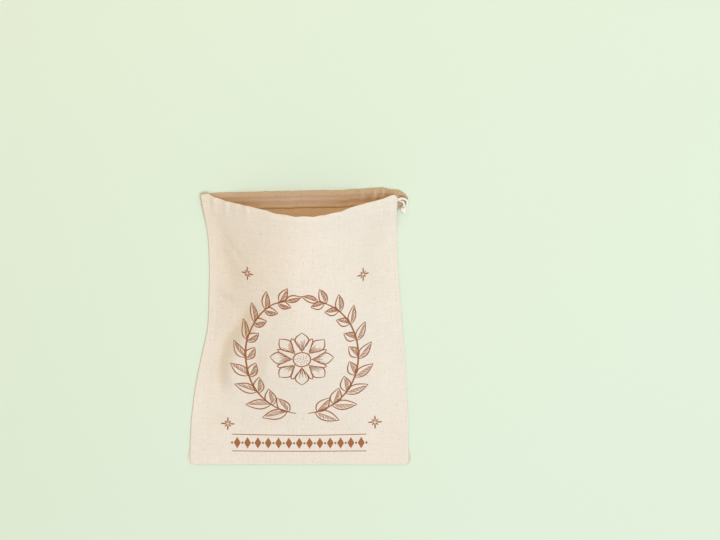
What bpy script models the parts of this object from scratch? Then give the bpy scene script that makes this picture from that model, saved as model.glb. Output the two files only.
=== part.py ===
"""A linen drawstring bread bag that lies on its back, its mouth held a little open.

Two cut panels lie on each other and meet along the sides and the bottom. Each turns
its mouth edge in as a casing, and one cord runs through both casings and is knotted
outside the right mouth corner. All tables are in millimetres: x runs across the bag
from its middle, y from the bottom seam to the mouth, z up from the surface below it.
"""
import math
from collections import namedtuple

import bpy
from mathutils import Vector

# Driving dimensions, in millimetres
MM = 0.001                 # metres in a millimetre
BAG_LENGTH = 403.6         # bottom seam to the highest point of the back rim
CLOTH = 1.2                # thickness of a panel
PIECE_GAP = 0.3            # between pieces that lie on each other
HEM_GAP = 0.5              # between the two layers of a stitched hem
CASING_DEPTH = 25.0        # cloth turned in along the mouth
TUNNEL_HEIGHT = 4.6        # clear height of the casing around the cord
TUNNEL = (4.2, 9.8)        # from and up to this far from the rim
STITCH_LINE = 15.5         # the casing is closed from here on
RIM_SHARE = 0.4            # share of the tunnel's height that is left at the rim
CORD_DIAMETER = 2.8
CORNER_RADIUS = 6.0        # rounding of the two bottom corners
CORD_BULGE = 0.8           # how far the cord lifts the casing's outer face
ARCH_POWER = 1.4           # 1 is a half wave, more draws the arch in towards its edges
HEM_STEP = 6.0             # cloth that lies on a hem's edge eases down over this length
HEM_SLANT = 1.2            # a hem on a slope takes this much more height
SOFT_TOUCH = 0.8           # rounds the line where the front panel lifts off the back
FOLD_RISE = 12.0           # a fold has its full height where the arch is this high
PUCKER_RISE = 4.0          # and a pucker where it is this high

# Cross-sections of the bag. left, right: the side edges. crown: how far the front
# panel is arched up over its edges, at its highest point, which lies at crown_x.
# base_left, base_right: height of the front panel's outer face at the side edges.
Section = namedtuple("Section", "y left right crown crown_x base_left base_right")
SECTIONS = (
    Section(0.0, -149.8, 149.8, 0.0, 0.0, 2.7, 2.7),
    Section(24.0, -149.6, 149.8, 3.0, 0.0, 2.7, 2.7),
    Section(60.0, -148.1, 149.4, 9.0, 0.0, 2.7, 2.7),
    Section(83.0, -145.8, 148.6, 15.0, 0.0, 2.7, 2.7),
    Section(120.0, -140.9, 146.8, 27.0, 1.0, 2.7, 2.7),
    Section(160.0, -133.1, 144.3, 40.0, 3.0, 2.7, 2.7),
    Section(207.0, -124.3, 141.0, 52.0, 5.0, 2.7, 2.7),
    Section(245.0, -122.9, 138.0, 57.0, 7.0, 2.7, 2.7),
    Section(285.0, -122.1, 135.3, 58.0, 9.0, 2.7, 2.7),
    Section(325.0, -123.5, 133.8, 57.0, 10.0, 2.7, 2.7),
    Section(345.0, -125.8, 133.3, 55.5, 10.0, 2.9, 4.0),
    Section(366.0, -129.2, 133.5, 53.0, 10.0, 5.4, 9.0),
    Section(378.0, -131.4, 133.9, 51.5, 10.0, 6.1, 12.5),
    Section(396.0, -134.0, 134.4, 49.0, 10.0, 6.3, 14.4),
)

# The mouth edges, seen from above
Rim = namedtuple("Rim", "x y")
FRONT_RIM = (
    Rim(-134.0, 394.5), Rim(-124.0, 396.8), Rim(-114.0, 393.8), Rim(-90.0, 391.3),
    Rim(-60.0, 389.0), Rim(-25.0, 386.0), Rim(3.0, 384.0), Rim(42.0, 386.6),
    Rim(83.0, 391.5), Rim(111.0, 393.2), Rim(129.0, 396.6), Rim(134.4, 394.0),
)
BACK_RIM = (
    Rim(-134.0, 394.5), Rim(-124.0, 396.0), Rim(-100.0, 397.0), Rim(-60.0, 398.0),
    Rim(0.0, 399.5), Rim(60.0, 400.4), Rim(97.0, 403.0), Rim(115.0, 403.6),
    Rim(125.0, 402.2), Rim(136.0, 400.4), Rim(144.6, 395.2), Rim(148.2, 390.5),
)

# The back panel's side edges differ from the front's in two places: it peeks out at
# the bottom corners, and its casing ends further out at the right mouth corner.
PEEK_OUT = 2.2
PEEK_Y = 15.0
PEEK_REACH = 13.0
Flare = namedtuple("Flare", "y out")
RIGHT_FLARE = (
    Flare(352.0, 0.0), Flare(366.0, 2.6), Flare(377.0, 8.6), Flare(388.0, 14.0), Flare(400.0, 14.0),
)

# Folds of the front panel: a soft ridge (height above zero) or trough (below zero)
# along a route, which dies out over its first and last fade millimetres.
Fold = namedtuple("Fold", "name height half_width fade route")
FOLDS = (
    Fold("side trough", -5.0, 9.0, 30.0,
         ((-62, 246), (-79, 221), (-95, 190), (-104, 160), (-107, 137), (-101, 112), (-90, 92))),
    Fold("side ridge", 4.5, 10.0, 30.0,
         ((-50, 236), (-66, 212), (-80, 184), (-88, 156), (-89, 135), (-82, 112))),
    Fold("second trough", -2.2, 9.0, 25.0, ((-50, 192), (-55, 168), (-58, 145), (-58, 122))),
    Fold("second ridge", 1.8, 10.0, 25.0, ((-36, 188), (-41, 165), (-43, 142), (-42, 122))),
    Fold("edge crease", -1.8, 6.0, 14.0, ((-122, 250), (-108, 249), (-94, 244), (-82, 236))),
    Fold("upper trough", -2.6, 13.0, 40.0, ((-116, 366), (-106, 338), (-96, 306), (-80, 280), (-60, 258))),
    Fold("lower left dent", -1.8, 10.0, 16.0, ((-100, 80), (-112, 66), (-122, 50))),
    Fold("lower middle dent", -1.6, 10.0, 18.0, ((-34, 84), (-44, 66), (-56, 48))),
    Fold("right trough", -2.0, 16.0, 40.0, ((112, 372), (104, 330), (98, 280), (104, 230))),
)

# Puckers of the front casing and gathers of the back casing, from rim to fade
Pucker = namedtuple("Pucker", "x height half_width")
FRONT_PUCKERS = (
    Pucker(-116.0, 0.9, 6.0), Pucker(-99.5, 0.9, 6.0), Pucker(-72.0, 0.8, 7.0),
    Pucker(58.0, 0.5, 8.0), Pucker(99.0, 0.7, 6.0), Pucker(114.0, 0.7, 6.0),
)
PUCKER_REACH = 34.0        # from the rim
BACK_GATHERS = (
    Pucker(-52.0, 1.2, 14.0), Pucker(-18.0, 1.5, 13.0), Pucker(24.0, 1.6, 14.0), Pucker(66.0, 1.8, 11.0),
    Pucker(86.0, 2.4, 8.0), Pucker(103.7, 3.0, 7.0), Pucker(115.0, 3.0, 5.5), Pucker(125.8, 2.0, 5.0),
)
FLAT_FROM_RIM = 7.5        # the lower face stays flat up to here
GATHER_FROM = 20.0         # the gathers fade from here
GATHER_REACH = 95.0        # and end here

# The casings' inner layers are cut back beside the left seam, where the cord crosses
# from one casing to the other, and at the back casing's right end, where it comes out.
LEFT_CUT = (-100.4, -94.0)
RIGHT_CUT = (134.0, 140.0)
LIP = 3.0                  # what is left of the inner layer there
LOOSE_HEM = 13.0           # the hem is open over this width beside a cut
LEFT_PINCH = (-134.0, -112.0)
RIGHT_PINCH = (141.0, 147.0)

# Rows of a panel's mesh
BOTTOM_ROWS = (0.0, 1.2, 3.2, 6.5, 15.0, 26.0)
CASING_ROWS = (CASING_DEPTH, 19.0, 14.0, 9.8, 7.0, 4.2)
FOLD_ANGLES = (45.0, 0.0, -45.0)
FLAP_ROWS = (0.0, 0.09, 0.2, 0.33, 0.5, 0.72, 1.0)
FRONT_ROWS = 16
BACK_ROWS = 8
FRONT_COLUMNS = 40
BACK_COLUMNS = 50
# The back panel's columns are closer at the left seam and in the gathered right part:
# up to this share of the columns lies this share of the width
Zone = namedtuple("Zone", "columns width")
BACK_ZONES = (Zone(0.0, 0.0), Zone(0.16, 0.15), Zone(0.46, 0.70), Zone(1.0, 1.0))

# The cord outside the casings, chosen by hand, from the knot to the front casing, round
# the left corner inside the bag, and from the back casing to the knot again
FRONT_STRAND = (
    (145.2, 377.8, 4.6), (147.0, 380.9, 5.7), (147.4, 384.6, 7.4), (145.0, 388.3, 9.5),
    (140.4, 389.9, 11.0), (135.5, 389.4, 11.6),
)
LEFT_TURN = (
    (-103.5, 385.2, 13.6), (-107.5, 384.8, 12.0), (-111.0, 384.7, 10.6), (-113.2, 385.2, 8.6),
    (-113.4, 386.0, 6.6), (-112.0, 386.9, 4.9), (-109.0, 387.8, 3.8), (-104.6, 388.7, 3.5),
)
BACK_STRAND = (
    (130.6, 391.4, 3.5), (135.0, 388.4, 3.5), (138.6, 385.2, 3.4), (141.2, 381.6, 3.4), (142.2, 378.0, 3.9),
)
FRONT_RUN = (127.0, -99.5)  # the cord's stretch in the front casing, along x
BACK_RUN = (-99.0, 126.0)  # and in the back casing
FRONT_RUN_DEPTH = 6.9      # the cord's distance from the front rim
BACK_RUN_DEPTH = 7.5       # and from the back rim
RUN_STEP = 12.0            # between the cord's route points in the casings
STRAIGHT = (-102.0, 131.0)  # the cord is nearly straight between these x
CORD_STEP = 7.6            # between the points of its tube there
BEND_STEP = 2.4            # and at its bends
FINE_STEP = 3.4            # of the smooth curve that the tube's points are taken from
KNOT_CENTRE = (143.4, 373.2, 4.2)
KNOT_RADII = (3.9, 5.3, 3.9)
KNOT_RIDGE = 0.11          # depth of the wound turns, as a share of the radius
KNOT_TURNS = 2
KNOT_SLANT = 5.0           # how far the turns lean, in radians over the knot's half length


def blend(low, high, value):
    """0 below low, 1 above high and a smooth step between them."""
    share = min(1.0, max(0.0, (value - low) / (high - low)))
    return share * share * (3.0 - 2.0 * share)


def bump(distance, half_width):
    """A round bump of height 1 that ends at half_width."""
    if abs(distance) >= half_width:
        return 0.0
    return 0.5 + 0.5 * math.cos(math.pi * distance / half_width)


def along(table, key, column, at):
    """Read a column of a table at a value of its key, smoothly and without overshoot."""
    keys = [getattr(row, key) for row in table]
    values = [getattr(row, column) for row in table]
    if at <= keys[0]:
        return values[0]
    if at >= keys[-1]:
        return values[-1]
    i = max(k for k in range(len(keys) - 1) if keys[k] <= at)
    rises = [(values[k + 1] - values[k]) / (keys[k + 1] - keys[k]) for k in range(len(keys) - 1)]

    def slope(k):
        if k == 0 or k == len(rises):
            return rises[min(k, len(rises) - 1)]
        before, after = rises[k - 1], rises[k]
        return 0.0 if before * after <= 0.0 else 2.0 * before * after / (before + after)

    width = keys[i + 1] - keys[i]
    t = (at - keys[i]) / width
    return ((1 + 2 * t) * (1 - t) ** 2 * values[i] + t * (1 - t) ** 2 * width * slope(i)
            + t * t * (3 - 2 * t) * values[i + 1] - t * t * (1 - t) * width * slope(i + 1))


def section(column, y):
    return along(SECTIONS, "y", column, y)


def corner_inset(y):
    """How far the round bottom corners draw a side edge in."""
    if y >= CORNER_RADIUS:
        return 0.0
    return CORNER_RADIUS - math.sqrt(CORNER_RADIUS ** 2 - (CORNER_RADIUS - y) ** 2)


def front_edges(y):
    return section("left", y) + corner_inset(y), section("right", y) - corner_inset(y)


def back_edges(y):
    left, right = front_edges(y)
    peek = PEEK_OUT * bump(y - PEEK_Y, PEEK_REACH)
    flare = along(RIGHT_FLARE, "y", "out", y)
    return left - peek, right + peek + flare


def route_distance(route, x, y):
    """Distance to a route, and how far along it and from its end the nearest point is."""
    best = (1e9, 0.0)
    walked = 0.0
    for (ax, ay), (bx, by) in zip(route, route[1:]):
        length = math.hypot(bx - ax, by - ay)
        share = ((x - ax) * (bx - ax) + (y - ay) * (by - ay)) / length ** 2
        share = min(1.0, max(0.0, share))
        distance = math.hypot(x - ax - share * (bx - ax), y - ay - share * (by - ay))
        best = min(best, (distance, walked + share * length))
        walked += length
    return best[0], best[1], walked - best[1]


def fold_height(x, y):
    total = 0.0
    for fold in FOLDS:
        distance, start, end = route_distance(fold.route, x, y)
        fade = blend(0.0, fold.fade, start) * blend(0.0, fold.fade, end)
        total += fold.height * fade * math.exp(-(distance / fold.half_width) ** 2)
    return total


def puckers(table, x):
    return sum(pucker.height * bump(x - pucker.x, pucker.half_width) for pucker in table)


def arch(x, y):
    """Share of the crown that the front panel has at x: 1 at its top, 0 at its edges."""
    left, right = front_edges(y)
    top = section("crown_x", y)
    side = (x - top) / ((right - top) if x > top else (top - left))
    return max(0.0, math.cos(0.5 * math.pi * min(1.0, abs(side)))) ** ARCH_POWER


def tunnel(x, side):
    """Clear height of the casing near the rim, pressed flat beside the left seam."""
    pinch = blend(*LEFT_PINCH, x)
    if side == "back":
        pinch *= 1.0 - blend(*RIGHT_PINCH, x)
    return HEM_GAP + (TUNNEL_HEIGHT - HEM_GAP) * pinch


def hem_gap(x, depth, side):
    """Clear height between the two layers of the hem, at a distance from the rim."""
    stitched = blend(TUNNEL[1], STITCH_LINE, depth) * blend(LEFT_CUT[1], LEFT_CUT[1] + LOOSE_HEM, x)
    if side == "back":
        stitched *= 1.0 - blend(RIGHT_CUT[0] - LOOSE_HEM, RIGHT_CUT[0], x)
    swell = RIM_SHARE + (1.0 - RIM_SHARE) * blend(fold_radius(x, side), TUNNEL[0], depth)
    return HEM_GAP + (tunnel(x, side) - HEM_GAP) * swell * (1.0 - stitched)


def fold_radius(x, side):
    return CLOTH + 0.5 * (HEM_GAP + (tunnel(x, side) - HEM_GAP) * RIM_SHARE)


def flap_depth(x, side):
    """Depth of the turned-in layer, cut back where the cord passes."""
    whole = blend(*LEFT_CUT, x)
    if side == "back":
        whole *= 1.0 - blend(*RIGHT_CUT, x)
    lip = fold_radius(x, side) + LIP
    return lip + (CASING_DEPTH - lip) * whole


def back_ripple(x, depth):
    """Lift of the back panel's upper face, and the share of it that its lower face has."""
    lift = puckers(BACK_GATHERS, x) * (1.0 - blend(GATHER_FROM, GATHER_REACH, depth))
    return lift, blend(FLAT_FROM_RIM, STITCH_LINE, depth)


def layers(x, depth, side):
    """Thickness of a panel, hem and casing included, easing down below the hem."""
    hem = CLOTH + hem_gap(x, depth, side)
    return CLOTH + hem * (1.0 - blend(CASING_DEPTH, CASING_DEPTH + HEM_STEP, depth))


def rest_height(x, y):
    """Height of the front panel's outer face where it lies on the back panel."""
    back_depth = along(BACK_RIM, "x", "y", x) - y
    front_depth = along(FRONT_RIM, "x", "y", x) - y
    under = layers(x, back_depth, "back") + back_ripple(x, back_depth)[0]
    return under + PIECE_GAP + HEM_SLANT * layers(x, front_depth, "front") - (HEM_SLANT - 1.0) * CLOTH


def front_height(x, y):
    """Height of the front panel's outer face: its arch and folds, held up by what lies below."""
    left, right = front_edges(y)
    share = (x - left) / (right - left)
    base = section("base_left", y) * (1.0 - share) + section("base_right", y) * share
    rise = section("crown", y) * arch(x, y)
    folds = fold_height(x, y) * blend(0.0, FOLD_RISE, rise)
    depth = along(FRONT_RIM, "x", "y", x) - y
    near_rim = 1.0 - blend(0.0, PUCKER_REACH, depth)
    folds += puckers(FRONT_PUCKERS, x) * near_rim * blend(0.0, PUCKER_RISE, rise)
    folds += CORD_BULGE * bump(depth - FRONT_RUN_DEPTH, FRONT_RUN_DEPTH) * blend(*LEFT_PINCH, x)
    above = base + rise + folds - rest_height(x, y)
    lift = max(0.0, 0.5 * (above + math.hypot(above, SOFT_TOUCH)) - 0.5 * SOFT_TOUCH)
    return rest_height(x, y) + lift


def steepness(x, y):
    """How much longer a plumb line through the front panel's layers is than its thickness."""
    step = 1.0
    slope = (front_height(x + step, y) - front_height(x - step, y)) / (2.0 * step)
    return math.hypot(1.0, slope)


def rows(count):
    """The stations of a panel from the bottom seam over the rim to the end of the hem."""
    stations = [("seam", y) for y in BOTTOM_ROWS]
    stations += [("body", (row + 1) / count) for row in range(count - 1)]
    stations += [("casing", depth) for depth in CASING_ROWS]
    stations += [("turn", 90.0)]
    stations += [("turn", angle) for angle in FOLD_ANGLES]
    stations += [("flap", share) for share in FLAP_ROWS]
    return stations


def panel_point(side, across, station):
    """A point of a panel's outer face; across runs from 0 at the left to 1 at the right."""
    kind, value = station
    edges, rim_table = (front_edges, FRONT_RIM) if side == "front" else (back_edges, BACK_RIM)

    def x_at(y):
        left, right = edges(y)
        return left + (right - left) * across

    rim_x = rim_table[0].x + (rim_table[-1].x - rim_table[0].x) * across
    rim = along(rim_table, "x", "y", rim_x)
    radius = fold_radius(rim_x, side)
    if kind == "seam":
        y = value
    elif kind == "body":
        y = BOTTOM_ROWS[-1] + (rim - CASING_DEPTH - BOTTOM_ROWS[-1]) * value
    elif kind == "casing":
        y = rim - value
    elif kind == "turn":
        y = rim - radius
    else:
        y = rim - radius - (flap_depth(rim_x, side) - radius) * value
    x = x_at(y)
    depth = rim - y
    if side == "front":
        stretch = steepness(x, y)
        radius *= stretch
        z = front_height(x, y)
        inward = -1.0
    else:
        stretch = 1.0
        lift, lower_share = back_ripple(x, depth)
        z = lift * lower_share
        inward = 1.0
    if kind == "turn":
        swing = math.radians(90.0 - value)
        flat = fold_radius(rim_x, side)
        upper_lift = back_ripple(x, depth)[0] if side == "back" else 0.0
        height = 2.0 * radius + upper_lift
        y += flat * math.sin(swing)
        z += inward * height * 0.5 * (1.0 - math.cos(swing))
    elif kind == "flap":
        hem = (2.0 * CLOTH + hem_gap(x, depth, side)) * stretch
        if side == "back":
            hem += lift * (1.0 - lower_share)
        z += inward * hem
    return Vector((x, y - 0.5 * BAG_LENGTH, z)) * MM


def make_material(name, colour, roughness):
    material = bpy.data.materials.new(name)
    material.use_nodes = True
    shader = material.node_tree.nodes["Principled BSDF"]
    shader.inputs["Base Color"].default_value = (*colour, 1.0)
    shader.inputs["Roughness"].default_value = roughness
    shader.inputs["Metallic"].default_value = 0.0
    return material


def place(obj, collection, material):
    """Keep a new object in the bag's collection, with its own material."""
    for other in list(obj.users_collection):
        other.objects.unlink(obj)
    collection.objects.link(obj)
    obj.data.materials.clear()
    obj.data.materials.append(material)


def gathered_column(share):
    """Where a column of the back panel lies, as a share of its width."""
    for low, high in zip(BACK_ZONES, BACK_ZONES[1:]):
        if share <= high.columns:
            within = (share - low.columns) / (high.columns - low.columns)
            return low.width + (high.width - low.width) * within
    return 1.0


def make_panel(side, row_count, columns, collection, material):
    """A cut of cloth: a flat grid laid along the panel's outer face, then given thickness."""
    stations = rows(row_count)
    bpy.ops.mesh.primitive_grid_add(x_subdivisions=columns, y_subdivisions=len(stations) - 1, size=2.0)
    panel = bpy.context.object
    panel.name = side + "_panel"
    for vertex in panel.data.vertices:
        across = 0.5 + 0.5 * vertex.co.x
        if side == "back":
            across = gathered_column(1.0 - across)
        row = round((0.5 + 0.5 * vertex.co.y) * (len(stations) - 1))
        vertex.co = panel_point(side, across, stations[row])
    panel.data.update()
    panel.data.shade_smooth()
    thickness = panel.modifiers.new("cloth", "SOLIDIFY")
    thickness.thickness = CLOTH * MM
    thickness.offset = -1.0
    place(panel, collection, material)
    return panel


def casing_run(side, start, end, depth):
    """Route points of the cord in a casing, from one x to another."""
    count = round(abs(end - start) / RUN_STEP)
    points = []
    for i in range(count + 1):
        x = start + (end - start) * i / count
        if side == "front":
            y = along(FRONT_RIM, "x", "y", x) - depth
            plumb = (CLOTH + 0.5 * TUNNEL_HEIGHT) * steepness(x, y)
            z = front_height(x, y) - plumb
        else:
            y = along(BACK_RIM, "x", "y", x) - depth
            z = CLOTH + 0.5 * TUNNEL_HEIGHT
        points.append((x, y, z))
    return points


def smooth_route(route, step):
    """Points about step apart along a smooth curve through the route's own points."""
    points = [Vector(point) for point in route]
    points = [2 * points[0] - points[1]] + points + [2 * points[-1] - points[-2]]
    smooth = []
    for before, start, end, after in zip(points, points[1:], points[2:], points[3:]):
        pieces = max(1, round((end - start).length / step))
        for k in range(pieces):
            t = k / pieces
            smooth.append(0.5 * (2 * start + (end - before) * t
                                 + (2 * before - 5 * start + 4 * end - after) * t ** 2
                                 + (3 * start - before - 3 * end + after) * t ** 3))
    smooth.append(Vector(route[-1]))
    return smooth


def drawstring_route():
    front_run = casing_run("front", *FRONT_RUN, FRONT_RUN_DEPTH)
    back_run = casing_run("back", *BACK_RUN, BACK_RUN_DEPTH)
    whole = list(FRONT_STRAND) + front_run + list(LEFT_TURN) + back_run + list(BACK_STRAND)
    fine = smooth_route(whole, FINE_STEP)
    kept = [fine[0]]
    for point in fine[1:-1]:
        step = CORD_STEP if STRAIGHT[0] < point.x < STRAIGHT[1] else BEND_STEP
        if (point - kept[-1]).length >= step:
            kept.append(point)
    return kept + [fine[-1]]


def make_drawstring(collection, material):
    curve = bpy.data.curves.new("drawstring", "CURVE")
    curve.dimensions = "3D"
    route = drawstring_route()
    spline = curve.splines.new("POLY")
    spline.points.add(len(route) - 1)
    for target, point in zip(spline.points, route):
        place_mm = point - Vector((0.0, 0.5 * BAG_LENGTH, 0.0))
        target.co = (*(place_mm * MM), 1.0)
    curve.bevel_depth = 0.5 * CORD_DIAMETER * MM
    curve.bevel_resolution = 2
    curve.use_fill_caps = True
    cord = bpy.data.objects.new("drawstring", curve)
    collection.objects.link(cord)
    curve.materials.append(material)
    return cord


def make_knot(collection, material):
    """The knot as one lump: an egg with its wound turns as slanting ridges."""
    bpy.ops.mesh.primitive_uv_sphere_add(segments=20, ring_count=12, radius=1.0)
    knot = bpy.context.object
    knot.name = "drawstring_knot"
    centre = Vector(KNOT_CENTRE) - Vector((0.0, 0.5 * BAG_LENGTH, 0.0))
    for vertex in knot.data.vertices:
        direction = vertex.co.normalized()
        turn = math.atan2(direction.z, direction.x)
        wave = math.cos(KNOT_TURNS * turn + KNOT_SLANT * direction.y)
        ridge = KNOT_RIDGE * wave * (1.0 - direction.y ** 2)
        spread = Vector([part * radius for part, radius in zip(direction, KNOT_RADII)])
        vertex.co = (centre + spread * (1.0 - KNOT_RIDGE + ridge)) * MM
    knot.data.update()
    knot.data.shade_smooth()
    place(knot, collection, material)
    return knot


def main():
    for old in list(bpy.data.objects):
        bpy.data.objects.remove(old, do_unlink=True)
    collection = bpy.data.collections.new("linen_bread_bag")
    bpy.context.scene.collection.children.link(collection)
    front_linen = make_material("front_linen", (0.80, 0.70, 0.58), 0.9)
    back_linen = make_material("back_linen", (0.74, 0.64, 0.52), 0.9)
    cotton_cord = make_material("cotton_cord", (0.90, 0.86, 0.78), 0.85)
    knot_cord = make_material("knot_cord", (0.88, 0.84, 0.76), 0.85)
    make_panel("front", FRONT_ROWS, FRONT_COLUMNS, collection, front_linen)
    make_panel("back", BACK_ROWS, BACK_COLUMNS, collection, back_linen)
    make_drawstring(collection, cotton_cord)
    make_knot(collection, knot_cord)


main()
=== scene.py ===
"""The looks of a linen drawstring bread bag that lies on its back, its mouth a little open.

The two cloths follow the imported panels' cross-sections, rims, folds and casings within a
few millimetres, with thin linen, smaller wrinkles, sewing, a brown print and a twisted cord.
Tables are in millimetres: x across the bag from its middle, y from the bottom seam to the
mouth, z up.
"""
import math
import random
from collections import namedtuple

import bpy
import numpy as np
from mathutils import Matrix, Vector, noise

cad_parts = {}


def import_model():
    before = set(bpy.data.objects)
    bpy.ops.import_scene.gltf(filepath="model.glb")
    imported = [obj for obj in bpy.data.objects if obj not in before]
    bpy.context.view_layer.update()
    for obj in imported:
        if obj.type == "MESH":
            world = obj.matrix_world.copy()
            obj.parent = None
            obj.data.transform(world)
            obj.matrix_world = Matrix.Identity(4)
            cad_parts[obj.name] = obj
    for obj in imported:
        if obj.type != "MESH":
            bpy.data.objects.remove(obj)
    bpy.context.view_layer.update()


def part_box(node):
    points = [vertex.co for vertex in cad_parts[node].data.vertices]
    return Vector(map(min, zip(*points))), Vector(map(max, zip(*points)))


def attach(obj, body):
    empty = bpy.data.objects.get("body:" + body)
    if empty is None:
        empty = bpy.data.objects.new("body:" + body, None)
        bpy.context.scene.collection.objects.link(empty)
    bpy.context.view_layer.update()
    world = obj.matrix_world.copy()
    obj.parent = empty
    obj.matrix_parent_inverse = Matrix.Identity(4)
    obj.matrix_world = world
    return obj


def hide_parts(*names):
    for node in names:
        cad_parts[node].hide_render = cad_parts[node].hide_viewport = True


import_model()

# Driving dimensions, in millimetres
MM = 0.001
BAG_LENGTH = 1000 * (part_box("back_panel")[1].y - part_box("back_panel")[0].y)
CLOTH = 0.7          # thickness of the linen
EDGE_HEIGHT = 1.9    # of the two cloths where they are sewn together
PIECE_GAP = 0.15     # between cloths that lie on each other
HEM_GAP = 0.1        # between the two layers of a stitched hem
CASING_DEPTH = 25    # cloth turned in along the mouth
TUNNEL_HEIGHT = 4    # clear height of the casing around the cord
TUNNEL = (4.2, 9.8)  # from and up to this far from the rim
STITCH_LINE = 19     # the casing is closed from here on
RIM_SHARE = 0.12     # share of the tunnel's height that is left at the rim
CORD_RADIUS = 1.5    # over the strands' crowns
CORNER_RADIUS = 6    # rounding of the two bottom corners
CORD_BULGE = 0.8     # how far the cord lifts the casing's outer face
ARCH_POWER = 1.4     # 1 is a half wave, more draws the arch in towards its edges
HEM_STEP = 6         # cloth that lies on a hem's edge eases down over this length
SOFT_TOUCH = 0.8     # rounds the line where the front cloth lifts off the back
DEEP_FOLD = 5        # a fold of this depth has the full painted shade of a crease
FOLD_RISE = 9        # a fold has its full height where the arch is this high
PUCKER_RISE = 4      # and a pucker where it is this high
EDGE_ROUND = 1.5     # the cloth rolls down over this width at a sewn edge
ALLOWANCE = (7, 10)  # the seam allowance inside ends here
ALLOWANCE_LIFT = 0.25
SEAM_SLIT = 0.25      # left between the two cloths at a sewn edge
SEAM_TAPER = 2.4      # the cloth has its whole thickness this far from a sewn edge
SEAM_THINNEST = 0.12  # share of the thickness at the edge itself


def table(columns, *rows):
    """Rows of values whose columns have names."""
    row_type = namedtuple("Row", columns)
    return [row_type(*row) for row in rows]


# Cross-sections of the bag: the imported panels', with thinner edges
SECTIONS = table(
    "y left right crown crown_x base_left base_right",
    (0, -149.8, 149.8, 0, 0, 1.9, 1.9),
    (24, -149.6, 149.8, 3, 0, 1.9, 1.9),
    (60, -148.1, 149.4, 9, 0, 1.9, 1.9),
    (83, -145.8, 148.6, 15, 0, 1.9, 1.9),
    (120, -140.9, 146.8, 27, 1, 1.9, 1.9),
    (160, -133.1, 144.3, 40, 3, 1.9, 1.9),
    (207, -124.3, 141, 52, 5, 1.9, 1.9),
    (245, -122.9, 138, 57, 7, 1.9, 1.9),
    (285, -122.1, 135.3, 58, 9, 1.9, 1.9),
    (325, -123.5, 133.8, 57, 10, 1.9, 1.9),
    (345, -125.8, 133.3, 55.5, 10, 2.1, 3.4),
    (366, -129.2, 133.5, 53, 10, 4.4, 8.6),
    (378, -131.4, 133.9, 51.5, 10, 5.1, 12.8),
    (396, -134, 134.4, 49, 10, 5.3, 15),
)

# The mouth's edges, seen from above
FRONT_RIM = table(
    "x y",
    (-134, 394.5), (-124, 396.5), (-114, 392.1), (-90, 389.2),
    (-60, 387.6), (-25, 383.4), (3, 382.2), (42, 384.2),
    (83, 391.1), (111, 393.3), (130, 397.8), (134.4, 394),
)
BACK_RIM = table(
    "x y",
    (-134, 393), (-124, 394.6), (-100, 396.3), (-60, 397.3),
    (0, 398.9), (60, 399.9), (97, 402.5), (115, 403.1),
    (125, 401.6), (136, 399), (144.6, 394.6), (148.2, 390.2),
)
RIMS = {"front": FRONT_RIM, "back": BACK_RIM}

PEEK_OUT = 2.8   # the back cloth peeks out at the bottom corners
PEEK_Y = 11      # most at this height
PEEK_REACH = 13  # and less up to this far from it
LIT_EDGE = 3.2   # an edge so wide has the outside's plain linen there on both faces, without the inside's painted shade
# Near the mouth the back cloth reaches out past the front's right edge
RIGHT_FLARE = table(
    "y out",
    (352, 0), (366, 0.2), (373, 1.6), (379, 8), (388, 14), (400, 14),
)

# Folds of the front cloth: a soft ridge (height above zero) or trough (below zero) along
# a route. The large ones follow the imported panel's, the others are creases of the cloth.
FOLDS = table(
    "height half_width fade route",
    (-3.9, 9.5, 34,
     ((-54, 252), (-73, 227), (-89, 200), (-103, 176), (-109, 158), (-111, 137), (-107, 114),
      (-98, 98))),
    (4.9, 11.5, 34,
     ((-41, 240), (-60, 214), (-79, 184), (-90, 156), (-92, 134), (-85, 108))),
    (-1.6, 9, 22, ((-48, 242), (-60, 228), (-72, 212), (-84, 194))),
    (-1.3, 9, 25, ((-50, 192), (-55, 168), (-58, 145), (-58, 122))),
    (1.4, 10, 25, ((-36, 188), (-41, 165), (-43, 142), (-42, 122))),
    (-1.8, 6, 14, ((-122, 250), (-108, 249), (-94, 244), (-82, 236))),
    (-2.1, 15, 34,
     ((-138, 404), (-130, 386), (-124, 370), (-118, 354), (-112, 338), (-108, 318), (-101, 302),
      (-89, 280), (-68, 260))),
    (-1.8, 10, 16, ((-100, 80), (-112, 66), (-122, 50))),
    (-1.6, 10, 18, ((-34, 84), (-44, 66), (-56, 48))),
    (-1, 16, 40, ((112, 372), (104, 330), (98, 280), (104, 230))),
    (-0.8, 5, 22, ((-110, 352), (-92, 322), (-70, 296))),
    (0.8, 16, 40, ((-20, 352), (-10, 300), (-14, 240))),
    (0.7, 14, 35, ((62, 350), (58, 300), (66, 240), (60, 190))),
    (-0.6, 7, 20, ((118, 168), (100, 140), (84, 120))),
    (-0.5, 6, 16, ((30, 62), (56, 52), (88, 50))),
)

# Puckers of the front casing and gathers of the back casing
FRONT_PUCKERS = table(
    "x height half_width",
    (-116, 1.6, 5.5), (-99.5, 1.5, 5.5), (-86, 0.7, 5), (-72, 1.2, 6),
    (-38, 0.6, 7), (12, 0.5, 8), (58, 0.6, 8), (84, 0.7, 6),
    (99, 1, 5.5), (114, 1, 5.5),
)
PUCKER_REACH = 34
BACK_GATHERS = table(
    "x height half_width",
    (-52, 1.2, 14), (-18, 1.5, 13), (24, 1.6, 14), (66, 1.8, 11),
    (86, 2.6, 8), (103.7, 3.4, 5.8), (115, 3.4, 4.8), (125.8, 2.6, 4.4),
    (137, 1.8, 4.6),
)
FLAT_FROM_RIM = 7.5  # the back's lower face stays flat up to here
GATHER_FROM = 20     # the gathers fade from here
GATHER_REACH = 95    # and end here

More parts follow.
